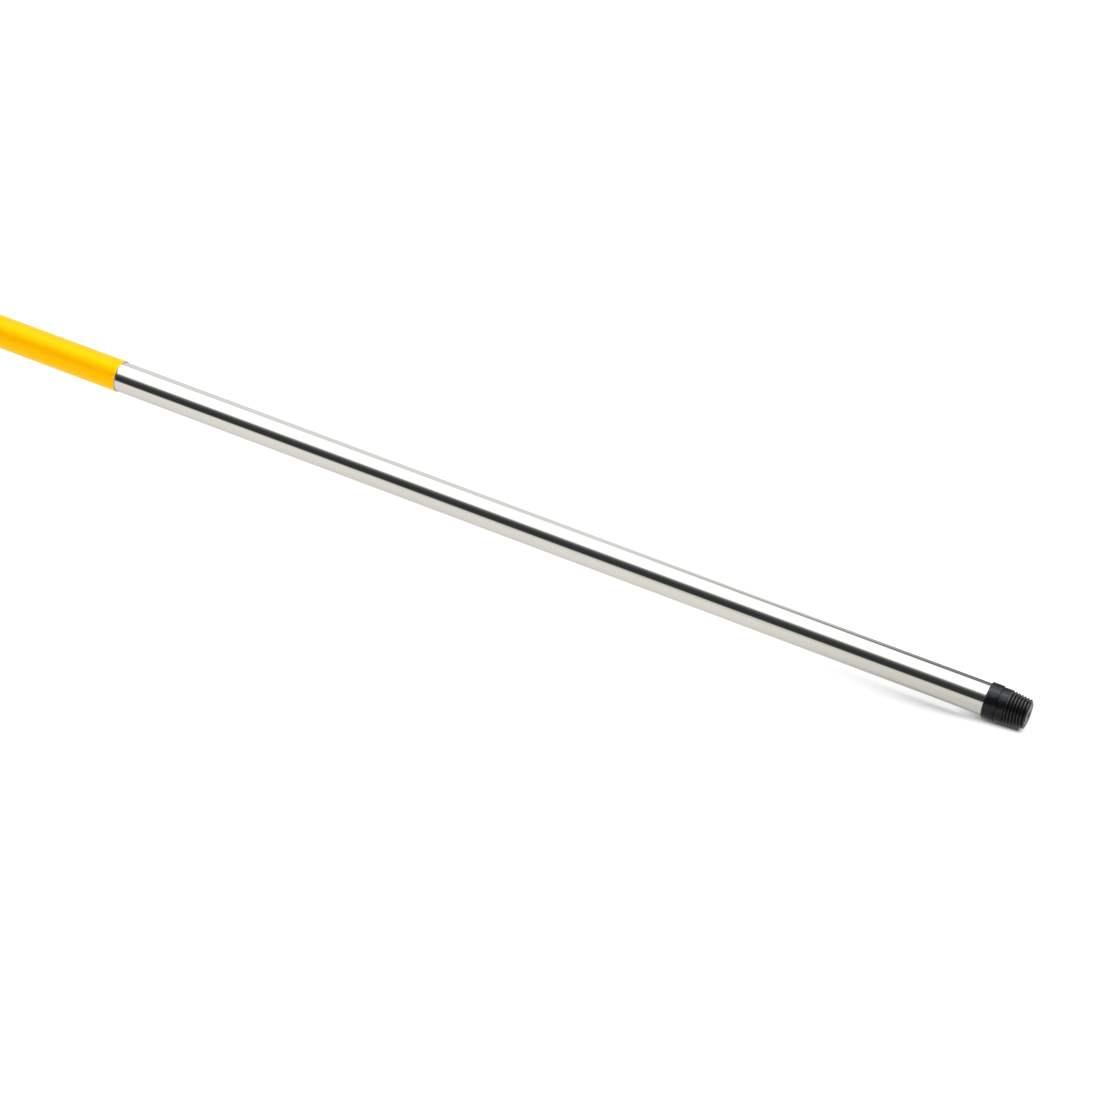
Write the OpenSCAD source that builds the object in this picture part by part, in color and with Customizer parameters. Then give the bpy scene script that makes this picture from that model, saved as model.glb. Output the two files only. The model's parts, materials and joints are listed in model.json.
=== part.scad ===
// Telescopic roller extension pole: a plastic-coated steel outer tube, a chromed inner tube with a
// tapered threaded tip, a hanging cap on the butt end, and an eccentric twist lock between the tubes.
// The pole lies along X on the plane Z = 0, with its tip towards +X. All sizes are in millimetres.

/* [Pole] */
// Length of the outer steel tube
outer_length = 1057; // [1000:1:1500]
// Length of the inner tube, from the collar of the tip to the barrel of the lock
inner_length = 902; // [800:1:940]
// How far the inner tube is drawn out of the mouth
drawn_out = 717; // [20:1:780]

/* [Tubes] */
// Outside diameter of the coated outer tube
grip_d = 25; // [24.9:0.05:25.2]
// Thickness of the plastic jacket on the outer tube
jacket_wall = 0.2; // [0.15:0.05:0.25]
// Wall of the outer steel tube
outer_wall = 0.3; // [0.25:0.05:0.3]
// Outside diameter of the inner tube
inner_d = 23.8; // [23.6:0.1:23.8]
// Wall of the inner tube
inner_wall = 0.3; // [0.25:0.05:0.4]
// Length of the rolled-in mouth of the outer tube
lip_length = 0.6; // [0.5:0.1:1.5]

/* [Threaded tip] */
// Diameter of the collar
collar_d = 26.6; // [26:0.1:27]
// Length of the collar
collar_length = 9.2; // [6:0.1:12]
// Diameter of the plain land in front of the collar
land_d = 25.2; // [24.8:0.1:25.4]
// Length of the plain land
land_length = 5.1; // [3:0.1:8]
// Pitch of the thread ridges
thread_pitch = 2.3; // [2:0.1:3]
// Number of thread ridges
thread_count = 7; // [5:1:8]
// Crest diameter of the ridge next to the land
thread_large_d = 25; // [24:0.1:25]
// Crest diameter of the ridge next to the end
thread_small_d = 22; // [21:0.1:23]
// Depth of the thread
thread_depth = 1; // [0.5:0.05:1.1]
// Diameter of the vent hole in the end face
vent_d = 2.4; // [1.5:0.1:4]

/* [Hanging cap] */
// Diameter of the cap's mouth, on which the pole lies
cap_d = 28; // [27:0.1:29]
// Length of the cap
cap_length = 41.5; // [38:0.5:50]
// Length of the cap that stands beyond the tube
cap_overhang = 14.5; // [13:0.5:18]
// Width of the hanging slot, along the pole
slot_width = 6.2; // [5:0.1:7]
// Length of the hanging slot where it leaves the cap's surface
slot_length = 21; // [18:0.5:22]
// Length of the hanging slot at its waist
slot_waist = 10; // [8:0.5:14]
// Thickness of the bar beyond the slot
slot_bar = 3; // [2.5:0.1:4]

/* [Twist lock] */
// Eccentricity of the lock's journal
eccentricity = 0.8; // [0.6:0.05:1]
// Diameter of the journal
journal_d = 15; // [13:0.5:16]
// Length of the journal
journal_length = 16.4; // [12:0.2:20]
// Length of the guide barrel behind the inner tube
barrel_length = 32; // [20:1:45]
// Play between the journal and the cam ring, which the twist takes up
cam_play = 0.42; // [0.4:0.01:0.5]
// Width of the split in the cam ring
cam_split = 2.5; // [1.5:0.1:4]
// Number of grip flutes around the cam ring
cam_flutes = 24; // [16:1:36]

/* [Hidden] */
$fn = 96;

// Clearances
bonded_gap = 0.01;
seat_gap = 0.02;
slide_gap = 0.03;
cut = 1;

// Radii, from the outside in
grip_r = grip_d / 2;
outer_r = grip_r - jacket_wall;
outer_bore_r = outer_r - outer_wall;
inner_r = inner_d / 2;
inner_bore_r = inner_r - inner_wall;
lip_bore_r = inner_r + slide_gap;
lock_r = outer_bore_r - slide_gap;
spigot_r = inner_bore_r - seat_gap;
collar_r = collar_d / 2;
cap_r = cap_d / 2;

// Tip, measured from the end of the inner tube
end_rim = 1;
end_face_r = 8.8;
end_dish_r = 5;
end_dish_depth = 0.4;
crest_share = 0.14;
foot_share = 0.42;
thread_start = collar_length + land_length;
tip_length = thread_start + (thread_count - 0.5 + foot_share) * thread_pitch + end_rim;
spigot_length = 46;
spigot_core_r = 10.2;
spigot_hollow_r = 5.5;
tip_floor = 8;
tip_cone = 3;

// Staked dimples that hold the tip and the lock in the inner tube
dimple_r = 3;
dimple_depth = 0.45;
dimple_count = 2;
dimple_from_end = 38;
dimple_turn = -50;

// Cap, measured from its closed end
cap_end_r = cap_r - 0.85;
cap_edge = 2;
cap_spigot_length = 12;
cap_spigot_wall = 1.2;

// Lock. The disc's floor is what the screw's head bears on.
disc_thickness = 4;
disc_floor = 2;
disc_bevel = 1.4;
disc_r = lock_r - 0.25;
key_d = 3;
key_length = 1.6;
key_offset = 4.6;
screw_pilot_r = 1.5;
screw_shank_r = 1.45;
screw_thread_r = 1.95;
screw_length = 16;
screw_point = 1.5;
screw_head_r = 3.6;
screw_head_height = 2.2;
ring_float = 0.4;
guide_land = 6;
guide_relief = 0.6;
plug_web = 10;

// Places along X
total_length = cap_overhang + outer_length + drawn_out + tip_length;
cap_end_x = -total_length / 2;
butt_x = cap_end_x + cap_overhang;
mouth_x = butt_x + outer_length;
collar_x = mouth_x + drawn_out;
lock_x = collar_x - inner_length;
journal_x = lock_x - barrel_length;
disc_x = journal_x - journal_length;

// Puts a shape drawn along Z onto the pole's axis, with its origin at x.
module on_axis(x) {
    translate([x, 0, cap_r]) rotate([0, 90, 0]) children();
}

// A plain tube along Z from z = 0.
module pipe(outside_r, inside_r, length) {
    difference() {
        cylinder(r = outside_r, h = length);
        translate([0, 0, -cut]) cylinder(r = inside_r, h = length + 2 * cut);
    }
}

// Places children at equal turns around Z.
module around(count, turn = 0) {
    for (i = [0 : count - 1]) rotate([0, 0, turn + i * 360 / count]) children();
}

// The balls that the staking punch leaves, grown by extra.
module dimple_balls(z, extra) {
    around(dimple_count, dimple_turn)
        translate([inner_r + dimple_r - dimple_depth, 0, z])
            sphere(r = dimple_r + extra, $fn = 48);
}

// A wall with dimples punched into it from the outside.
module staked_wall(z) {
    intersection() {
        difference() {
            dimple_balls(z, inner_wall);
            dimple_balls(z, 0);
        }
        translate([0, 0, z - 2 * dimple_r])
            cylinder(r = inner_bore_r + inner_wall / 2, h = 4 * dimple_r);
    }
}

// A plastic insert that fills the inner tube's end, from z = 0 to z = length, with
// a full land at each end and ribs between them.
module ribbed_spigot(length, land_a, land_b) {
    rib_count = 8;
    rib_width = 1.8;
    cylinder(r = spigot_core_r, h = length);
    cylinder(r = spigot_r, h = land_a);
    translate([0, 0, length - land_b]) cylinder(r = spigot_r, h = land_b);
    intersection() {
        cylinder(r = spigot_r, h = length);
        around(rib_count) translate([0, -rib_width / 2, 0]) cube([spigot_r, rib_width, length]);
    }
}

// Steel tube with its mouth rolled in, so that the lock can't be drawn out.
module outer_tube() {
    lip_thickness = outer_wall - 0.05;
    color("silver") on_axis(butt_x) rotate_extrude()
        polygon([
            [outer_bore_r, 0],
            [outer_r, 0],
            [outer_r, outer_length - lip_length],
            [lip_bore_r + lip_thickness, outer_length],
            [lip_bore_r, outer_length],
            [lip_bore_r, outer_length - lip_length / 2],
            [outer_bore_r, outer_length - lip_length],
        ]);
}

// Plastic skin on the outer tube, which ends where the mouth begins to roll in.
module outer_jacket() {
    edge = jacket_wall / 2;
    jacket_length = outer_length - lip_length;
    color("gold") on_axis(butt_x) rotate_extrude()
        polygon([
            [outer_r + bonded_gap, 0],
            [grip_r, 0],
            [grip_r, jacket_length - edge],
            [grip_r - edge, jacket_length],
            [outer_r + bonded_gap, jacket_length],
        ]);
}

// Half-section of the cap's outside: a slight draft and a round edge at the closed end.
module cap_section() {
    union() {
        translate([cap_end_r - cap_edge, cap_edge]) circle(r = cap_edge, $fn = 48);
        square([cap_end_r - cap_edge, cap_edge + 0.01]);
        polygon([
            [0, cap_edge],
            [cap_end_r, cap_edge],
            [cap_r, cap_length - 3],
            [cap_r, cap_length],
            [0, cap_length],
        ]);
    }
}

// The hanging slot: a straight-sided slot with round ends, whose side walls close in to a waist.
module hanging_slot() {
    reach = 2 * cap_r;
    side_r = 13;
    slot_z = slot_bar + slot_width / 2;
    half_span = (slot_length - slot_width) / 2;
    intersection() {
        rotate([90, 0, 0]) translate([0, 0, -reach / 2]) linear_extrude(reach) union() {
            for (side = [-1, 1]) translate([side * half_span, slot_z]) circle(d = slot_width, $fn = 48);
            translate([-half_span, slot_bar]) square([2 * half_span, slot_width]);
        }
        linear_extrude(2 * cap_overhang) difference() {
            square([slot_length, reach], center = true);
            for (side = [-1, 1]) translate([side * (slot_waist / 2 + side_r), 0]) circle(r = side_r);
        }
    }
}

// White push-on cap with its hanging slot and a short plug inside the tube.
module hanger_cap() {
    bore_r = grip_r + seat_gap;
    plug_r = outer_bore_r - seat_gap;
    color("white") on_axis(cap_end_x) difference() {
        rotate_extrude() cap_section();
        hanging_slot();
        translate([0, 0, cap_overhang]) difference() {
            cylinder(r = bore_r, h = cap_length);
            translate([0, 0, -cut]) pipe(plug_r, plug_r - cap_spigot_wall, cap_spigot_length + cut);
        }
    }
}

// Chromed tube, staked at both ends.
module inner_tube() {
    stake_z = [dimple_from_end, inner_length - dimple_from_end];
    color("gainsboro") on_axis(lock_x) union() {
        difference() {
            pipe(inner_r, inner_bore_r, inner_length);
            for (z = stake_z) dimple_balls(z, 0);
        }
        for (z = stake_z) staked_wall(z);
    }
}

// Crest radius of the tapered thread at a distance from the collar's back.
function crest_r(z) =
    let (share = (z - thread_start - thread_pitch / 2) / ((thread_count - 1) * thread_pitch))
    (thread_large_d + share * (thread_small_d - thread_large_d)) / 2;

// One ridge: a flat crest between two flanks, with a flat root behind it.
function ridge(z) = [
    [crest_r(z) - thread_depth, z - foot_share * thread_pitch],
    [crest_r(z), z - crest_share * thread_pitch],
    [crest_r(z), z + crest_share * thread_pitch],
    [crest_r(z) - thread_depth, z + foot_share * thread_pitch],
];

// Black moulded tip: collar, plain land, tapered thread and dished end, with a spigot in the tube.
module thread_tip() {
    collar_edge = 0.8;
    land_edge = 0.3;
    ridges = [for (i = [0 : thread_count - 1]) each ridge(thread_start + (i + 0.5) * thread_pitch)];
    end_crest_r = thread_small_d / 2;
    color("dimgray") on_axis(collar_x) difference() {
        union() {
            rotate_extrude() polygon([
                [0, 0],
                [collar_r - collar_edge, 0],
                [collar_r - collar_edge / 4, collar_edge / 4],
                [collar_r, collar_edge],
                [collar_r, collar_length - 2],
                [collar_r - 0.25, collar_length - collar_edge / 2],
                [collar_r - 0.5, collar_length],
                [land_d / 2, collar_length],
                [land_d / 2, thread_start - land_edge],
                each ridges,
                [end_crest_r - 0.7, tip_length - end_rim + 0.1],
                [end_crest_r - 1.1, tip_length - 0.35],
                [end_face_r, tip_length],
                [end_dish_r, tip_length],
                [vent_d / 2, tip_length - end_dish_depth],
                [0, tip_length - end_dish_depth],
            ]);
            mirror([0, 0, 1]) ribbed_spigot(spigot_length, 8, 16);
        }
        translate([0, 0, -spigot_length - cut])
            cylinder(r = spigot_hollow_r, h = spigot_length + cut + tip_length - tip_floor - tip_cone);
        translate([0, 0, tip_length - tip_floor - tip_cone])
            cylinder(r1 = spigot_hollow_r, r2 = vent_d / 2, h = tip_cone);
        cylinder(d = vent_d, h = tip_length + cut);
        dimple_balls(-dimple_from_end, inner_wall + seat_gap);
    }
}

// Nylon plug in the inner end of the inner tube: ribbed spigot, guide barrel and eccentric journal.
module lock_plug() {
    relief_length = barrel_length - 2 * guide_land;
    color("whitesmoke") on_axis(lock_x) difference() {
        union() {
            ribbed_spigot(spigot_length, 8, 16);
            mirror([0, 0, 1]) cylinder(r = lock_r, h = barrel_length);
            translate([0, eccentricity, -barrel_length - journal_length])
                cylinder(d = journal_d, h = journal_length + cut);
        }
        translate([0, 0, -barrel_length + guide_land])
            pipe(lock_r + cut, lock_r - guide_relief, relief_length);
        translate([0, 0, -barrel_length + plug_web])
            cylinder(r = spigot_hollow_r, h = spigot_length + barrel_length);
        translate([0, 0, -barrel_length - journal_length - cut])
            cylinder(r = screw_pilot_r, h = screw_length + cut);
        translate([0, key_offset, -barrel_length - journal_length - cut])
            cylinder(d = key_d + 2 * seat_gap, h = key_length + 0.2 + cut);
        dimple_balls(dimple_from_end, inner_wall + seat_gap);
    }
}

// Split nylon ring around the journal. It drags on the outer tube, so it doesn't turn with the twist.
module cam_ring() {
    length = journal_length - ring_float;
    bore_r = journal_d / 2 + cam_play;
    flute_r = 0.5;
    edge = 0.6;
    color("orange") on_axis(disc_x + ring_float / 2) difference() {
        union() {
            cylinder(r1 = lock_r - edge, r2 = lock_r, h = edge);
            translate([0, 0, edge]) cylinder(r = lock_r, h = length - 2 * edge);
            translate([0, 0, length - edge]) cylinder(r1 = lock_r, r2 = lock_r - edge, h = edge);
        }
        translate([0, eccentricity, -cut]) cylinder(r = bore_r, h = length + 2 * cut);
        translate([-cam_split / 2, 0, -cut]) cube([cam_split, lock_r + cut, length + 2 * cut]);
        around(cam_flutes, 180 / cam_flutes)
            translate([lock_r + flute_r / 2, 0, -cut]) cylinder(r = flute_r, h = length + 2 * cut, $fn = 24);
    }
}

// Disc that keeps the ring on the journal. A key on its face stops it turning.
module end_disc() {
    color("whitesmoke") on_axis(disc_x) difference() {
        union() {
            translate([0, 0, disc_bevel - disc_thickness])
                cylinder(r = disc_r, h = disc_thickness - disc_bevel);
            translate([0, 0, -disc_thickness])
                cylinder(r1 = disc_r - disc_bevel, r2 = disc_r, h = disc_bevel);
            translate([0, key_offset, -cut]) cylinder(d = key_d, h = key_length + cut);
        }
        translate([0, 0, -disc_thickness]) cylinder(r = screw_thread_r + 0.1, h = disc_thickness + cut);
        translate([0, 0, -disc_floor - disc_thickness]) cylinder(r = screw_head_r + 0.3, h = disc_thickness);
    }
}

// Self-tapping screw that holds the disc: round head with a cross slot, and a ridged shank.
module lock_screw() {
    ridge_pitch = 1.4;
    ridge_count = 9;
    flank = 0.3;
    slot_size = [0.9, 4.4, 1.2];
    color("slategray") on_axis(disc_x - disc_floor) difference() {
        union() {
            cylinder(r = screw_shank_r, h = screw_length - screw_point);
            translate([0, 0, screw_length - screw_point])
                cylinder(r1 = screw_shank_r, r2 = 0.3, h = screw_point);
            for (i = [1 : ridge_count]) translate([0, 0, i * ridge_pitch]) {
                cylinder(r1 = screw_shank_r - 0.1, r2 = screw_thread_r, h = flank);
                translate([0, 0, flank])
                    cylinder(r1 = screw_thread_r, r2 = screw_shank_r - 0.1, h = flank);
            }
            translate([0, 0, -screw_head_height])
                cylinder(r1 = screw_head_r - 1, r2 = screw_head_r, h = screw_head_height);
        }
        for (turn = [0, 90]) rotate([0, 0, turn])
            translate([-slot_size[0] / 2, -slot_size[1] / 2, -screw_head_height - 0.01]) cube(slot_size);
    }
}

outer_tube();
outer_jacket();
hanger_cap();
inner_tube();
thread_tip();
lock_plug();
cam_ring();
end_disc();
lock_screw();
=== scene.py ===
"""Looks of the roller extension pole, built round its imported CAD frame.

Lengths are in millimetres until make_mesh() scales them to metres. Every round piece is described by its
distance along the pole, x, and its radius, r. An angle about the pole starts at +Y and turns towards +Z.
"""

import json
import math

import bmesh
import bpy
import numpy as np
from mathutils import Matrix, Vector


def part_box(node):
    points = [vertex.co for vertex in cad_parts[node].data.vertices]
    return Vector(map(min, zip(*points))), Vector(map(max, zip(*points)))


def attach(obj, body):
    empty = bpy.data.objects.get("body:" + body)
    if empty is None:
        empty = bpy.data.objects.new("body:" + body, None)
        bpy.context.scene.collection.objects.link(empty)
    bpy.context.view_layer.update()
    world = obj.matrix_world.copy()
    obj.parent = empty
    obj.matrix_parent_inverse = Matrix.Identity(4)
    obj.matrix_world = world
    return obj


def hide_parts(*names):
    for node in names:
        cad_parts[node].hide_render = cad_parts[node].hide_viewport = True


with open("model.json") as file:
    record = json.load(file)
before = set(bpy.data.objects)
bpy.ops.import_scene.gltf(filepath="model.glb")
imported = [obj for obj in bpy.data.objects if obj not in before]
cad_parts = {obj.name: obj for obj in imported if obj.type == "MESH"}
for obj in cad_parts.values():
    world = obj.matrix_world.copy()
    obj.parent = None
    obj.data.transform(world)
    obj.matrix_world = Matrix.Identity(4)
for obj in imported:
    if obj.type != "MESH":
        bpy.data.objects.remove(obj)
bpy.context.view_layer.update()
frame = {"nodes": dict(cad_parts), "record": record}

MM = 0.001
COLUMNS = 160


# ---------------------------------------------------------------- places, from the frame

def mount(name):
    """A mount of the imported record."""
    return next(m for m in frame["record"]["mounts"] if m["name"] == name)


def span(node):
    """Where a CAD node starts and ends along the pole, in millimetres."""
    low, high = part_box(node)
    return low.x / MM, high.x / MM


def radius(node):
    """The outer radius of a round CAD node, in millimetres."""
    low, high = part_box(node)
    return round(max(high.y - low.y, high.z - low.z) / 2 / MM, 2)


AXIS_Z = mount("butt_face")["pos_m"][2] / MM
CAP_END, CAP_MOUTH = span("hanger_cap")
BUTT, MOUTH = span("outer_tube")
JACKET_END = span("outer_jacket")[1]
LOCK_END, COLLAR_BACK = span("inner_tube")
SPIGOT_END, TIP_END = span("thread_tip")

COLLAR_R = radius("thread_tip")
CAP_R = radius("hanger_cap")
GRIP_R = radius("outer_jacket")
INNER_R = radius("inner_tube")
LAND_R = mount("tip_land")["dims"]["r_mm"]

# Walls and fits, as in the CAD
JACKET_WALL = 0.2
OUTER_WALL = 0.3
INNER_WALL = 0.3
OUTER_R = GRIP_R - JACKET_WALL
OUTER_BORE_R = OUTER_R - OUTER_WALL
INNER_BORE_R = INNER_R - INNER_WALL
SLIDE_GAP = 0.03
SEAT_GAP = 0.02
LIP_BORE_R = INNER_R + SLIDE_GAP
SPIGOT_R = INNER_BORE_R - SEAT_GAP

# The tip's collar and thread, as in the CAD. Places are measured from the collar's back
COLLAR_LENGTH = 9.2
THREAD_START = 14.3
PITCH = 2.3
CRESTS = 7
FIRST_CREST_R = 12.5
LAST_CREST_R = 11.0
CREST_TAPER = (FIRST_CREST_R - LAST_CREST_R) / ((CRESTS - 1) * PITCH)


# ---------------------------------------------------------------- meshes

def make_mesh(name, points, faces, sharp_above=35):
    """An object from points in millimetres, with smooth faces and with sharp edges kept."""
    mesh = bpy.data.meshes.new(name)
    mesh.from_pydata((np.asarray(points) * MM).tolist(), [], np.asarray(faces).tolist())
    mesh.validate()
    mesh.polygons.foreach_set("use_smooth", [True] * len(mesh.polygons))
    mesh.set_sharp_from_angle(angle=math.radians(sharp_above))
    piece = bpy.data.objects.new(name, mesh)
    bpy.context.scene.collection.objects.link(piece)
    return piece


def round_corner(before, corner, after, size, steps=4):
    """Points of a curve that rounds a corner of an outline, starting size away from it on each side."""
    before, corner, after = (np.array(p, float) for p in (before, corner, after))
    start = corner + (before - corner) * size / np.linalg.norm(before - corner)
    end = corner + (after - corner) * size / np.linalg.norm(after - corner)
    shares = np.linspace(0, 1, steps + 1)
    return [tuple((1 - t) ** 2 * start + 2 * t * (1 - t) * corner + t * t * end) for t in shares]


def rounded(outline):
    """A closed outline of (x, r, size) corners as (x, r) points, each corner rounded by its size."""
    points = []
    for i, (x, r, size) in enumerate(outline):
        before, after = outline[i - 1][:2], outline[(i + 1) % len(outline)][:2]
        points += round_corner(before, (x, r), after, size) if size else [(x, r)]
    return supported(points)


def supported(points, margin=0.3):
    """Adds a point near both ends of each long stretch, so that a corner's shading stays at the corner."""
    held = [points[0]]
    for start, end in zip(points, points[1:]):
        length = math.dist(start, end)
        if length > 4 * margin:
            step = (np.array(end) - np.array(start)) * margin / length
            held += [tuple(start + step), tuple(end - step)]
        held.append(end)
    return held


def lathe(name, outline, columns=COLUMNS, sharp_above=35, screw=None):
    """A ring-shaped piece. outline(angle) gives one closed loop of (x, r) points, always as many.
    screw is a thread's first row, its last row and its rows per turn. After a full circle, each of its rows
    meets the row of the next turn."""
    angles = np.arange(columns) * 2 * math.pi / columns
    loops = np.array([outline(a) for a in angles])
    x, r = loops[..., 0], loops[..., 1]
    y = r * np.cos(angles)[:, None]
    z = r * np.sin(angles)[:, None] + AXIS_Z
    rows = x.shape[1]
    index = np.arange(columns * rows).reshape(columns, rows)
    across = np.roll(index, -1, 0)
    if screw:
        first, last, turn_rows = screw
        across[-1, first:last + 1] = index[0, np.minimum(np.arange(first, last + 1) + turn_rows, last)]
    faces = np.stack([index, np.roll(index, -1, 1), np.roll(across, -1, 1), across], -1)
    piece = make_mesh(name, np.stack([x, y, z], -1).reshape(-1, 3), faces.reshape(-1, 4))
    weld(piece.data)
    piece.data.set_sharp_from_angle(angle=math.radians(sharp_above))
    return piece


def weld(mesh):
    """Joins points that coincide and turns all faces outwards."""
    work = bmesh.new()
    work.from_mesh(mesh)
    bmesh.ops.remove_doubles(work, verts=work.verts, dist=2e-6)
    bmesh.ops.dissolve_degenerate(work, edges=work.edges, dist=1e-6)
    bmesh.ops.recalc_face_normals(work, faces=work.faces)
    work.to_mesh(mesh)
    work.free()


def field_solid(name, field, low, high, step):
    """A closed mesh round the space where field(points) is negative, by surface nets.
    Its points are then moved onto the surface itself, so curved faces come out smooth."""
    axes = [np.arange(low[i], high[i] + step, step) for i in range(3)]
    grid = np.stack(np.meshgrid(*axes, indexing="ij"), -1)
    values = field(grid)
    inside = values < 0
    cells = tuple(n - 1 for n in values.shape)
    total, count = np.zeros(cells + (3,)), np.zeros(cells)
    crossings = []
    for axis in range(3):
        first = [slice(1, -1)] * 3
        second = [slice(1, -1)] * 3
        first[axis], second[axis] = slice(0, -1), slice(1, None)
        first, second = tuple(first), tuple(second)
        cross = inside[first] != inside[second]
        i, j, k = np.nonzero(cross)
        share = values[first][i, j, k] / (values[first][i, j, k] - values[second][i, j, k])
        place = grid[first][i, j, k].copy()
        place[:, axis] += share * step
        corner = np.stack([i, j, k], -1) + 1
        corner[:, axis] -= 1
        u, v = (axis + 1) % 3, (axis + 2) % 3
        ring = []
        for du, dv in ((1, 1), (0, 1), (0, 0), (1, 0)):
            cell = corner.copy()
            cell[:, u] -= du
            cell[:, v] -= dv
            np.add.at(total, tuple(cell.T), place)
            np.add.at(count, tuple(cell.T), 1)
            ring.append(cell)
        ring = np.stack(ring, 1)
        outward = inside[first][i, j, k]
        ring[~outward] = ring[~outward][:, ::-1]
        crossings.append(ring)
    number = np.full(cells, -1)
    used = count > 0
    number[used] = np.arange(used.sum())
    points = total[used] / count[used][:, None]
    nudge = step * 0.05
    for _ in range(4):
        slope = np.stack([(field(points + nudge * e) - field(points - nudge * e)) / (2 * nudge)
                          for e in np.eye(3)], -1)
        move = field(points)[:, None] * slope / np.maximum((slope ** 2).sum(-1, keepdims=True), 0.1)
        points -= np.clip(move, -step / 3, step / 3)
    rings = np.concatenate(crossings)
    faces = number[tuple(np.moveaxis(rings, -1, 0))]
    return make_mesh(name, points, faces, sharp_above=60)


def both(a, b, fillet):
    """The space in both fields, with the edge between them rounded."""
    corner = np.hypot(np.maximum(a + fillet, 0), np.maximum(b + fillet, 0))
    return np.minimum(-fillet, np.maximum(a, b)) + corner


def smooth(t):
    """0 below t = 0, 1 above t = 1, and an even curve between them."""
    t = min(max(t, 0), 1)
    return t * t * (3 - 2 * t)


# ---------------------------------------------------------------- the grip tube

def build_outer_jacket():
    """The yellow skin, with a softly cut edge at the mouth."""
    bore_r = OUTER_R + 0.01
    outline = rounded([
        (BUTT, bore_r, 0),
        (BUTT, GRIP_R, 0.05),
        (JACKET_END, GRIP_R, 0.12),
        (JACKET_END, bore_r, 0),
    ])
    return lathe("outer_jacket_skin", lambda angle: outline)


def build_outer_tube():
    """The steel tube, whose end is rolled in to a lip."""
    lip_r = LIP_BORE_R + OUTER_WALL - 0.05
    outline = rounded([
        (BUTT, OUTER_BORE_R, 0),
        (BUTT, OUTER_R, 0.05),
        (JACKET_END, OUTER_R, 0.3),
        (MOUTH, lip_r, 0.12),
        (MOUTH, LIP_BORE_R, 0.05),
        ((JACKET_END + MOUTH) / 2, LIP_BORE_R, 0),
        (JACKET_END, OUTER_BORE_R, 0),
    ])
    return lathe("outer_tube_steel", lambda angle: outline)


def build_hanger_cap():
    """The white cap: rounded ends, a slight draft and a slot whose walls close in to a waist."""
    length = CAP_MOUTH - CAP_END
    end_r, end_flat, mouth_flat = CAP_R - 0.85, 2, 3
    overhang = BUTT - CAP_END
    bore_r = GRIP_R + SEAT_GAP
    plug_r, plug_wall, plug_length = OUTER_BORE_R - SEAT_GAP, 1.2, 12
    slot_x, slot_half_width, slot_half_length = 6.1, 3.1, 10.5
    waist, side_r = 5, 13

    def field(p):
        x = p[..., 0] - CAP_END
        y, z = p[..., 1], p[..., 2] - AXIS_Z
        r = np.hypot(y, z)
        widening = np.clip((x - end_flat) / (length - end_flat - mouth_flat), 0, 1)
        outer = end_r + (CAP_R - end_r) * widening
        body = both(both(r - outer, -x, 2.0), x - length, 0.35)
        past_straight = np.maximum(np.abs(z) - slot_half_length + slot_half_width, 0)
        slot = np.hypot(x - slot_x, past_straight) - slot_half_width
        walls = side_r - np.hypot(y, np.abs(z) - waist - side_r)
        opening = both(slot, walls, 0.4)
        body = both(body, -opening, 0.45)
        bore = both(r - bore_r, overhang - x, 0.3)
        plug = both(r - plug_r, x - overhang - plug_length, 0.3)
        plug = both(plug, plug_r - plug_wall - r, 0.3)
        room = both(bore, -plug, 0.15)
        return both(body, -room, 0.15)

    margin, step = 1, 0.3
    low = (CAP_END - margin, -CAP_R - margin, AXIS_Z - CAP_R - margin)
    high = (CAP_MOUTH + margin, CAP_R + margin, AXIS_Z + CAP_R + margin)
    return field_solid("hanger_cap_moulding", field, low, high, step)


# ---------------------------------------------------------------- the extension

def build_inner_tube():
    """The chromed tube, with the dimples that the staking punch leaves."""
    punch_r, depth, from_end, turns = 3.0, 0.45, 38, (40, 220)
    punch_centre = INNER_R + punch_r - depth
    stakes = (LOCK_END + from_end, COLLAR_BACK - from_end)
    reach, count = 2.4, 17
    rows = sorted({x + d for x in stakes for d in np.linspace(-reach, reach, count)})
    edge, hold = 0.05, 0.3

    def sink(x, angle):
        """How far the surface is pushed in at a place."""
        for stake in stakes:
            for turn in turns:
                off = (angle - math.radians(turn) + math.pi) % (2 * math.pi) - math.pi
                clear = punch_r ** 2 - (x - stake) ** 2 - (punch_centre * math.sin(off)) ** 2
                if clear > 0 and abs(off) < 1:
                    return max(0, INNER_R - (punch_centre * math.cos(off) - math.sqrt(clear)))
        return 0

    def outline(angle):
        pushed = [sink(x, angle) for x in rows]
        outside = [(x, INNER_R - d) for x, d in zip(rows, pushed)]
        inside = [(x, INNER_BORE_R - d) for x, d in zip(rows, pushed)]
        return [
            (LOCK_END, INNER_R - edge), (LOCK_END + edge, INNER_R), (LOCK_END + hold, INNER_R), *outside,
            (COLLAR_BACK - hold, INNER_R), (COLLAR_BACK - edge, INNER_R), (COLLAR_BACK, INNER_R - edge),
            (COLLAR_BACK, INNER_BORE_R), *reversed(inside), (LOCK_END, INNER_BORE_R),
        ]

    return lathe("inner_tube_chromed", outline, columns=192, sharp_above=50)


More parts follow.
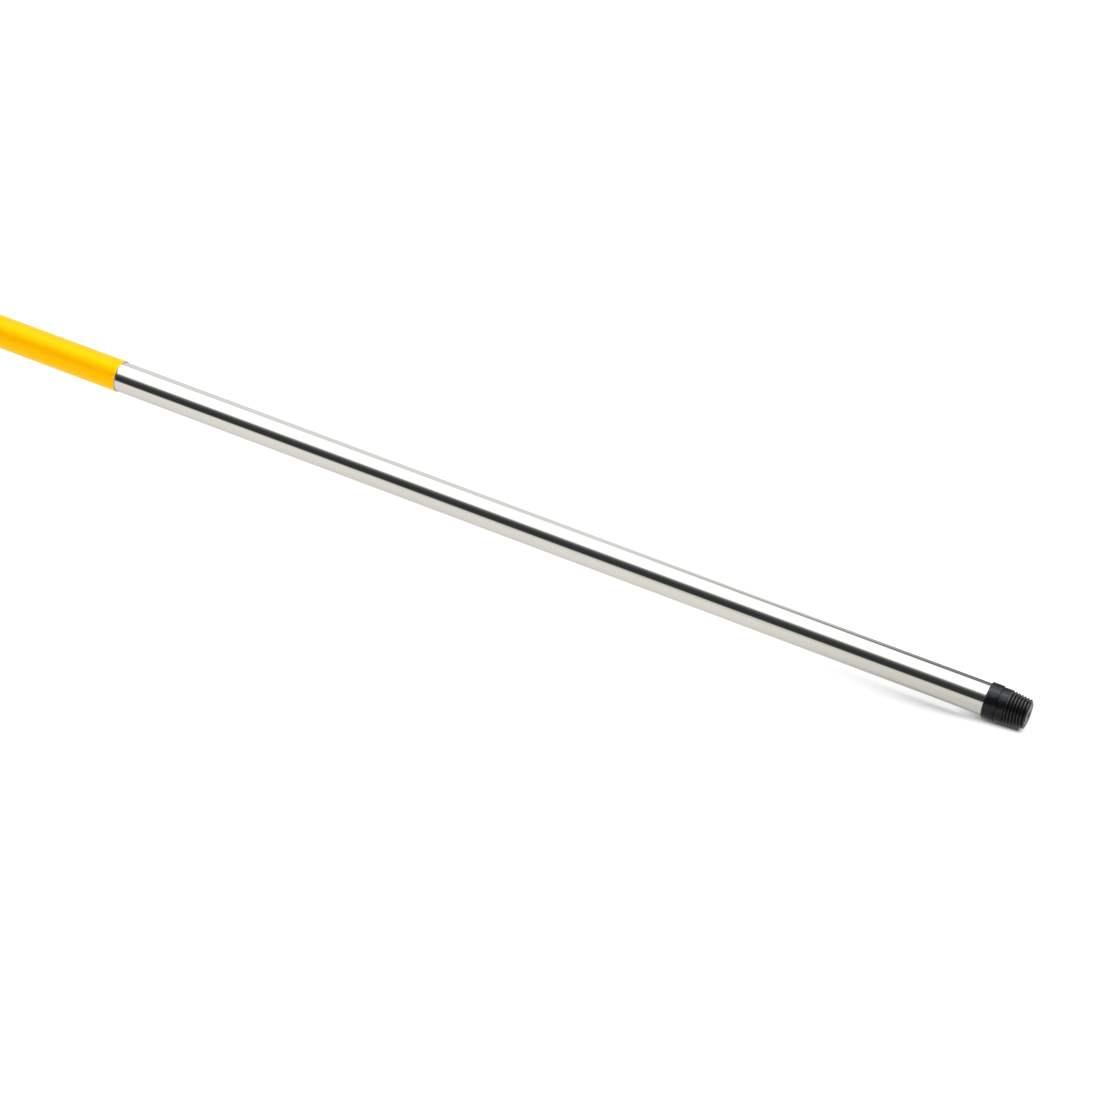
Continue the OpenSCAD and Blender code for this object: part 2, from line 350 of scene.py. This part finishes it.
def build_thread_tip():
    """The black tip: collar, groove, land, right-handed tapered thread, dished end and ribbed spigot."""
    depth, first_turn, fade_in = 1.0, 0.26, 0.5
    vent_r, dish_r, dish_depth, face_r, shoulder_length = 1.2, 3.4, 0.7, 7.6, 1.4
    groove_r = LAND_R - 0.7
    hollow_r, core_r, ribs, rib_half_angle = 5.5, 10.2, 8, math.radians(4.6)
    end = TIP_END - COLLAR_BACK
    spigot = SPIGOT_END - COLLAR_BACK
    # one turn of the thread: share of the pitch, share of the depth
    turn = [
        (0.0, 0.10), (0.03, 0.035), (0.07, 0.005), (0.12, 0.0), (0.24, 0.0), (0.29, 0.005), (0.33, 0.035),
        (0.36, 0.10), (0.62, 0.93), (0.65, 0.98), (0.68, 1.0), (0.71, 0.98), (0.74, 0.93),
    ]

    def crest(x):
        """The radius of the cone on which the crests lie."""
        return min(LAND_R, FIRST_CREST_R - (x - THREAD_START - PITCH / 2) * CREST_TAPER)

    def shoulder(x):
        """The rounded fall from the last crest to the end face."""
        fall = min(max((x - end + shoulder_length) / shoulder_length, 0), 1)
        top = LAST_CREST_R - 0.2
        return face_r + (top - face_r) * math.sqrt(1 - fall ** 2) if fall else LAND_R

    def thread(angle):
        """The thread's outline at a turn about the pole."""
        points = []
        for whole in range(-1, CRESTS + 2):
            for share, low in turn:
                along = whole + share + first_turn + angle / (2 * math.pi)
                x = min(max(THREAD_START + along * PITCH, THREAD_START - 0.2), end - 0.02)
                deep = depth * low * smooth((along - 0.1) / fade_in)
                points.append((x, min(crest(x) - deep, shoulder(x))))
        return points

    collar = rounded([
        (0, SPIGOT_R, 0),
        (0, COLLAR_R, 0.8),
        (COLLAR_LENGTH - 1.6, COLLAR_R, 0.8),
        (COLLAR_LENGTH - 0.35, COLLAR_R - 0.35, 0.2),
        (COLLAR_LENGTH - 0.2, groove_r, 0.1),
        (COLLAR_LENGTH + 0.6, groove_r, 0.1),
        (COLLAR_LENGTH + 0.75, LAND_R, 0.1),
        (COLLAR_LENGTH + 1.4, LAND_R, 0),
    ])

    def outline(angle):
        nearest = round(angle / (2 * math.pi) * ribs) * 2 * math.pi / ribs
        rib_r = SPIGOT_R if abs(angle - nearest) < rib_half_angle else core_r
        end_face = rounded([
            (end, face_r, 0.05),
            (end, dish_r, 0.8),
            (end - dish_depth, vent_r + 0.4, 0.3),
            (end - dish_depth - 0.35, vent_r, 0.1),
        ])
        inside = [
            (end - 8, vent_r), (end - 11, hollow_r), (spigot, hollow_r),
            (spigot, SPIGOT_R - 0.5), (spigot + 0.5, SPIGOT_R), (spigot + 16, SPIGOT_R),
            (spigot + 16.2, rib_r), (-8.2, rib_r), (-8, SPIGOT_R),
        ]
        loop = collar + thread(angle) + end_face + inside
        return [(COLLAR_BACK + x, r) for x, r in loop]

    thread_rows = (len(collar), len(collar) + len(thread(0)) - 1, len(turn))
    return lathe("thread_tip_moulding", outline, sharp_above=40, screw=thread_rows)


# ---------------------------------------------------------------- materials

class Nodes:
    """Short ways to add nodes to a material or a world. An item is a number or another node's output."""

    def __init__(self, owner, coordinates="Object"):
        owner.use_nodes = True
        self.nodes = owner.node_tree.nodes
        self.links = owner.node_tree.links
        self.place = self.nodes.new("ShaderNodeTexCoord").outputs[coordinates]

    def part(self, axis):
        """One coordinate of the place."""
        node = self.nodes.new("ShaderNodeSeparateXYZ")
        self.links.new(self.place, node.inputs["Vector"])
        return node.outputs[axis]

    def math(self, operation, *items):
        """A number made from one or two items."""
        node = self.nodes.new("ShaderNodeMath")
        node.operation = operation
        for key, item in enumerate(items):
            if isinstance(item, (int, float)):
                node.inputs[key].default_value = item
            else:
                self.links.new(item, node.inputs[key])
        return node.outputs["Value"]

    def times(self, first, *others):
        """The product of several items."""
        for other in others:
            first = self.math("MULTIPLY", first, other)
        return first

    def spread(self, socket, low, high, from_low=0.3, from_high=0.7):
        """A number that runs from low to high while the socket runs from from_low to from_high. The default
        range is where a noise's values mostly lie."""
        node = self.nodes.new("ShaderNodeMapRange")
        limits = {"From Min": from_low, "From Max": from_high, "To Min": low, "To Max": high}
        for key, number in limits.items():
            node.inputs[key].default_value = number
        self.links.new(socket, node.inputs["Value"])
        return node.outputs["Result"]


class Shader(Nodes):
    """A Principled material and short ways to feed its inputs."""

    def __init__(self, name):
        self.material = bpy.data.materials.new(name)
        super().__init__(self.material)
        self.surface = self.nodes["Principled BSDF"]
        self.normal = None

    def value(self, name, value):
        self.surface.inputs[name].default_value = value

    def feed(self, name, socket):
        self.links.new(socket, self.surface.inputs[name])

    def stretched(self, stretch):
        """The place on the object, with each axis scaled."""
        mapping = self.nodes.new("ShaderNodeMapping")
        mapping.inputs["Scale"].default_value = stretch
        self.links.new(self.place, mapping.inputs["Vector"])
        return mapping.outputs["Vector"]

    def noise(self, scale, stretch=(1, 1, 1), detail=3, roughness=0.5):
        node = self.nodes.new("ShaderNodeTexNoise")
        node.inputs["Scale"].default_value = scale
        node.inputs["Detail"].default_value = detail
        node.inputs["Roughness"].default_value = roughness
        self.links.new(self.stretched(stretch), node.inputs["Vector"])
        return node.outputs["Fac"]

    def blend(self, factor, first, second):
        """A colour between two colours. Either may be a socket."""
        node = self.nodes.new("ShaderNodeMix")
        node.data_type = "RGBA"
        self.links.new(factor, node.inputs["Factor"])
        for key, colour in ((6, first), (7, second)):
            if isinstance(colour, tuple):
                node.inputs[key].default_value = (*colour, 1)
            else:
                self.links.new(colour, node.inputs[key])
        return node.outputs[2]

    def bump(self, height, distance):
        """Adds relief. distance is the height in metres that a full step of the pattern stands for."""
        node = self.nodes.new("ShaderNodeBump")
        node.inputs["Strength"].default_value = 1
        node.inputs["Distance"].default_value = distance
        self.links.new(height, node.inputs["Height"])
        if self.normal:
            self.links.new(self.normal, node.inputs["Normal"])
        self.normal = node.outputs["Normal"]
        self.feed("Normal", self.normal)


def yellow_coating():
    """Semi-gloss plastic: faint draw streaks along the tube, a slight orange peel and rubbed patches."""
    s = Shader("yellow_coating")
    streaks = s.noise(900, (0.02, 1, 1), detail=2)
    clouds = s.noise(9, (0.5, 1, 1), detail=2)
    base = s.blend(s.spread(clouds, 0, 1), (0.96, 0.455, 0.0), (0.97, 0.475, 0.0))
    s.feed("Base Color", s.blend(s.spread(streaks, 0, 0.1), base, (0.90, 0.39, 0.0)))
    rubbed = s.spread(s.noise(55, (0.35, 1, 1), detail=4), 0, 0.06)
    s.feed("Roughness", s.math("ADD", rubbed, s.spread(streaks, 0.27, 0.33)))
    s.value("Metallic", 0.2)
    s.value("Specular IOR Level", 0.15)
    s.value("Specular Tint", (1.0, 0.75, 0.0, 1))
    s.value("Sheen Weight", 0.6)
    s.value("Sheen Roughness", 0.4)
    s.value("Sheen Tint", (0.5, 1.0, 0.0, 1))
    s.bump(s.noise(420, (0.5, 1, 1), detail=1), 0.00003)
    s.bump(streaks, 0.00001)
    return s.material


def chrome():
    """Bright plate: fine polishing lines, a slight waviness and a few wiped smudges."""
    s = Shader("chrome")
    s.value("Metallic", 1)
    tint = s.spread(s.noise(14, (0.4, 1, 1), detail=2), 0, 1)
    s.feed("Base Color", s.blend(tint, (0.60, 0.58, 0.52), (0.62, 0.60, 0.545)))
    s.value("Specular Tint", (0.8, 0.8, 0.8, 1))
    lines = s.noise(2600, (0.012, 1, 1), detail=2)
    smudge = s.spread(s.noise(38, (0.5, 1, 1), detail=5, roughness=0.6), 0, 0.05, 0.52, 0.78)
    s.feed("Roughness", s.math("ADD", smudge, s.spread(lines, 0.03, 0.06)))
    s.bump(s.noise(26, (0.6, 1, 1), detail=2), 0.000015)
    s.bump(lines, 0.0000015)
    return s.material


def bare_steel():
    """Rolled strip, brushed along the tube, a little darker where it has tarnished."""
    s = Shader("bare_steel")
    s.value("Metallic", 1)
    lines = s.noise(1500, (0.02, 1, 1), detail=3)
    tarnish = s.spread(s.noise(60, detail=4), 0, 1)
    s.feed("Base Color", s.blend(tarnish, (0.36, 0.33, 0.29), (0.50, 0.48, 0.45)))
    s.feed("Roughness", s.spread(lines, 0.28, 0.5))
    s.bump(lines, 0.000006)
    return s.material


def plastic(name, dark, light, roughness, grain, grain_height, specular=0.5, scatter=0.0):
    """The shader of a moulded plastic: a fine spark-eroded grain, a slow drift in tone and faint handling
    marks. grain is the grain's scale, and grain_height its height in metres."""
    s = Shader(name)
    drift = s.spread(s.noise(70, detail=3), 0, 1)
    s.feed("Base Color", s.blend(drift, dark, light))
    marks = s.spread(s.noise(240, (0.4, 1, 1), detail=4), 0, 0.08, 0.5, 0.75)
    mottle = s.spread(s.noise(grain, detail=1), roughness - 0.04, roughness + 0.04)
    s.feed("Roughness", s.math("ADD", marks, mottle))
    s.value("Specular IOR Level", specular)
    if scatter:
        s.value("Subsurface Weight", scatter)
        s.value("Subsurface Radius", (0.004, 0.004, 0.0035))
        s.value("Subsurface Scale", 0.4)
    s.bump(s.noise(grain, detail=2), grain_height)
    return s


def rub_crests(s):
    """Makes the crests of the tip's thread glossier than its grooves, as screwing it in and out does."""
    glossy, plain, dull = 0.46, 0.26, 0.16
    rubbed_from, rubbed_to = 12.38 * MM, 12.52 * MM
    along = s.math("SUBTRACT", s.part("X"), (COLLAR_BACK + THREAD_START) * MM)
    height = s.math("SUBTRACT", s.part("Z"), AXIS_Z * MM)
    radius_squared = s.math("ADD", s.math("POWER", s.part("Y"), 2), s.math("POWER", height, 2))
    # the radius as if the thread's cone were a cylinder, so that all crests lie at the same level
    level = s.math("ADD", s.math("POWER", radius_squared, 0.5), s.times(along, CREST_TAPER))
    crest = s.times(s.spread(level, 0, 1, rubbed_from, rubbed_to), s.spread(along, 0, 1, 0, MM))
    groove = s.spread(along, plain, dull, 0, MM)
    s.feed("Specular IOR Level", s.math("ADD", groove, s.times(crest, glossy - dull)))


def zinc():
    """Bright zinc plate with a mottled sheen."""
    s = Shader("zinc_screw")
    s.value("Metallic", 1)
    mottle = s.spread(s.noise(900, detail=3), 0, 1)
    s.feed("Base Color", s.blend(mottle, (0.42, 0.43, 0.43), (0.60, 0.61, 0.59)))
    s.feed("Roughness", s.spread(s.noise(2200, detail=2), 0.25, 0.42))
    return s.material


# ---------------------------------------------------------------- studio

def build_floor(tip_piece):
    """A wide, plain, pale floor at the height that the pole lies on. It glows like a light table, and
    less so round the tip, where a shadow of the pole is painted into its glow and colour. The painted shadow
    slides with the tip."""
    half = 20
    mesh = bpy.data.meshes.new("studio_floor")
    corners = [(-half, -half, 0), (half, -half, 0), (half, half, 0), (-half, half, 0)]
    mesh.from_pydata(corners, [], [(0, 1, 2, 3)])
    floor = bpy.data.objects.new("studio_floor", mesh)
    bpy.context.scene.collection.objects.link(floor)
    s = Shader("studio_floor")

    # places along the pole are taken from the tip, so that they move with it
    across = s.part("Y")
    from_tip = s.nodes.new("ShaderNodeTexCoord")
    from_tip.object = tip_piece
    s.place = from_tip.outputs["Object"]
    along = s.part("X")
    collar, tip = COLLAR_BACK * MM, TIP_END * MM
    start = collar - 0.2
    near_tip = s.spread(along, 0, 1, start, collar - 0.02)
    on_tip = s.spread(along, 0, 1, tip + 0.001, tip - 0.005)

    # a painted shadow: in front of the pole the glow falls and the colour changes in a soft band, wide where
    # it starts and narrow at the tip
    taper = s.spread(along, 0, 0.004, collar, tip)
    reach = s.math("SUBTRACT", s.spread(along, 0.056, 0.012, start, collar), taper)
    depth = s.math("DIVIDE", across, reach)
    before_collar = s.spread(along, 1, 0, collar - 0.02, collar)
    # painted lit gap: just beside the tube, short of the collar, the painted shadow is lighter
    painted_lit_gap = s.times(s.spread(across, 0, 0.75, -0.0115, -0.008), before_collar)
    painted_shadow = s.times(s.spread(depth, 0, 1, -1.0, -0.6), s.spread(across, 0, 1, 0.01, 0.0))
    painted_shadow = s.times(painted_shadow, s.math("POWER", near_tip, 3), on_tip, s.math("SUBTRACT", 1, painted_lit_gap))
    # painted contact shadow: a darker patch right beside the tip
    painted_contact_shadow = s.times(s.spread(depth, 0, 1, -0.95, -0.7), s.spread(along, 0, 1, collar, collar + 0.012))
    painted_contact_shadow = s.times(painted_contact_shadow, painted_shadow, on_tip)
    # painted shadow in the colour: a paler base inside the painted shadow, near-black in the painted contact
    # patch
    lit = s.blend(painted_shadow, (0.12, 0.12, 0.12), (0.72, 0.72, 0.72))
    s.feed("Base Color", s.blend(painted_contact_shadow, lit, (0.03, 0.03, 0.03)))

    # painted shade for reflections and bounced light: they see a dimmer floor round the tip, dim in front of
    # it and dark behind it
    behind = s.times(near_tip, s.spread(across, 0, 1, 0.0, 0.01))
    under_tube = s.spread(along, 0, 0.25, start, collar)
    under_tip = s.spread(along, 0, 0.35, collar - 0.004, collar + 0.006)
    short_of_end = s.spread(along, 0, 1, tip + 0.005, tip + 0.001)
    dim = s.times(s.math("MAXIMUM", behind, s.math("ADD", under_tube, under_tip)), short_of_end)
    indirect = s.math("SUBTRACT", 1, s.nodes.new("ShaderNodeLightPath").outputs["Is Camera Ray"])
    kept = s.math("SUBTRACT", 1, s.times(dim, indirect))
    s.value("Emission Color", (1, 1, 1, 1))
    # the glow: even, but cut under the painted shadow and dimmed as painted shade for reflections
    s.feed("Emission Strength", s.times(s.spread(painted_shadow, 0.98, 0.06, 0, 1), kept))
    s.value("Roughness", 0.9)
    s.value("Specular IOR Level", 0.0)
    mesh.materials.append(s.material)


def build_world():
    """The studio as bands of light that run along the pole. Measured round it from the front horizon,
    there is a pale wall, a dark stretch, a wide softbox overhead, and a pale wall behind that darkens
    towards the tip's end. The bands climb a little towards that end. A camera sees a plain backdrop."""
    world = bpy.data.worlds.new("studio")
    bpy.context.scene.world = world
    world.use_nodes = True
    world.node_tree.nodes.clear()
    w = Nodes(world, "Generated")
    nodes, links = w.nodes, w.links

    along = w.part("X")
    turn = w.math("ARCTAN2", w.part("Z"), w.math("MULTIPLY", w.part("Y"), -1))
    climb = w.spread(along, 0, math.radians(24), -0.44, 0.0)
    share = w.math("DIVIDE", w.math("SUBTRACT", turn, climb), math.pi)

    ramp = nodes.new("ShaderNodeValToRGB")
    wall, dark, box = (1.0, 0.99, 0.95), (0.046, 0.054, 0.062), (1.75, 1.79, 1.93)
    stops = [
        (0, wall), (3, wall), (7, (0.35, 0.35, 0.34)), (12, dark), (34, dark), (46, (0.09, 0.10, 0.105)),
        (54, (0.24, 0.25, 0.26)), (59, (0.6, 0.6, 0.6)), (66, box), (138, box), (146, (1.25, 1.25, 1.22)),
        (151, (1.01, 1.04, 1.12)), (164, (1.12, 1.15, 1.23)), (180, (1.22, 1.26, 1.34)),
    ]
    elements = ramp.color_ramp.elements
    while len(elements) < len(stops):
        elements.new(1.0)
    for element, (degrees, colour) in zip(elements, stops):
        element.position = degrees / 180
        element.color = (*colour, 1)
    links.new(share, ramp.inputs["Fac"])

    behind = w.spread(share, 0, 1, 142 / 180, 152 / 180)
    fading = w.times(behind, w.spread(along, 0, 0.85, -0.285, -0.182))
    end_wall = w.spread(along, 0, 0.85, 0.72, 0.85)
    dimmed = w.math("SUBTRACT", 1, w.math("MAXIMUM", fading, end_wall))
    light = nodes.new("ShaderNodeBackground")
    links.new(ramp.outputs["Color"], light.inputs["Color"])
    links.new(dimmed, light.inputs["Strength"])
    plain = nodes.new("ShaderNodeBackground")
    plain.inputs["Color"].default_value = (1, 1, 1, 1)
    mix = nodes.new("ShaderNodeMixShader")
    links.new(nodes.new("ShaderNodeLightPath").outputs["Is Camera Ray"], mix.inputs["Fac"])
    links.new(light.outputs["Background"], mix.inputs[1])
    links.new(plain.outputs["Background"], mix.inputs[2])
    output = nodes.new("ShaderNodeOutputWorld")
    links.new(mix.outputs["Shader"], output.inputs["Surface"])


def build_lamp(name, place, size, energy):
    """A rectangular soft lamp at a place in metres from the pole's middle, facing it."""
    lamp = bpy.data.lights.new(name, "AREA")
    lamp.shape = "RECTANGLE"
    lamp.size, lamp.size_y = size
    lamp.energy = energy
    piece = bpy.data.objects.new(name, lamp)
    bpy.context.scene.collection.objects.link(piece)
    piece.location = place
    towards = Vector((place[0], 0, AXIS_Z * MM)) - piece.location
    piece.rotation_euler = towards.to_track_quat("-Z", "Y").to_euler()
    return piece


def build_lamps():
    """A key light behind the pole, a front fill that leaves no gloss, and a strip that leaves only gloss."""
    build_lamp("key_light", (1.2, 1.1, 1.9), (2.4, 0.9), 14)
    build_lamp("front_fill", (0.1, -2.2, 0.8), (3.0, 1.0), 27).visible_glossy = False
    build_lamp("gloss_strip", (0.0, 0.9, 2.0), (5.0, 2.0), 26).visible_diffuse = False


def build_camera():
    """A long lens, above and to the right of the pole's front, aimed between its mouth and its tip."""
    azimuth, elevation = math.radians(26.93), math.radians(47.53)
    distance, lowered = 2.2159, 0.01005
    aim = Vector((COLLAR_BACK - 344.9, 0, AXIS_Z)) * MM
    level = Vector((math.sin(azimuth), -math.cos(azimuth), 0))
    back = level * math.cos(elevation) + Vector((0, 0, math.sin(elevation)))
    lens = bpy.data.cameras.new("camera")
    lens.sensor_width = 36
    lens.lens = 98.2
    lens.clip_end = 100
    camera = bpy.data.objects.new("camera", lens)
    bpy.context.scene.collection.objects.link(camera)
    camera.rotation_mode = "QUATERNION"
    camera.rotation_quaternion = (-back).to_track_quat("-Z", "Y")
    up = camera.rotation_quaternion @ Vector((0, 1, 0))
    camera.location = aim + back * distance - up * lowered
    bpy.context.scene.camera = camera


# ---------------------------------------------------------------- assembly

def finish_piece(piece, node, body, material):
    """Puts a piece in a CAD node's place, on its body and with its material."""
    piece.data.materials.append(material)
    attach(piece, body)
    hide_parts(node)


def finish_node(node, material):
    """Gives a CAD node that stays its material."""
    for holder in frame["nodes"][node].material_slots:
        holder.material = material


bpy.context.scene.view_settings.view_transform = "Standard"
build_camera()
build_world()
build_lamps()

white = plastic("white_plastic", (0.56, 0.565, 0.59), (0.60, 0.605, 0.63),
                roughness=0.36, grain=900, grain_height=0.00001, scatter=0.15)
black = plastic("black_plastic", (0.003, 0.0032, 0.0034), (0.005, 0.0052, 0.0055),
                roughness=0.2, grain=1400, grain_height=0.000004, specular=0.26)
nylon = plastic("natural_nylon", (0.62, 0.59, 0.52), (0.70, 0.67, 0.60),
                roughness=0.42, grain=1100, grain_height=0.000008, scatter=0.3)
grey_nylon = plastic("grey_nylon", (0.06, 0.063, 0.068), (0.085, 0.09, 0.095),
                     roughness=0.45, grain=1100, grain_height=0.000008)
rub_crests(black)

finish_piece(build_outer_jacket(), "outer_jacket", "handle", yellow_coating())
finish_piece(build_outer_tube(), "outer_tube", "handle", bare_steel())
finish_piece(build_hanger_cap(), "hanger_cap", "handle", white.material)
finish_piece(build_inner_tube(), "inner_tube", "extension", chrome())
thread_tip = build_thread_tip()
finish_piece(thread_tip, "thread_tip", "extension", black.material)
finish_node("lock_plug", nylon.material)
finish_node("end_disc", nylon.material)
finish_node("cam_ring", grey_nylon.material)
finish_node("lock_screw", zinc())
build_floor(thread_tip)
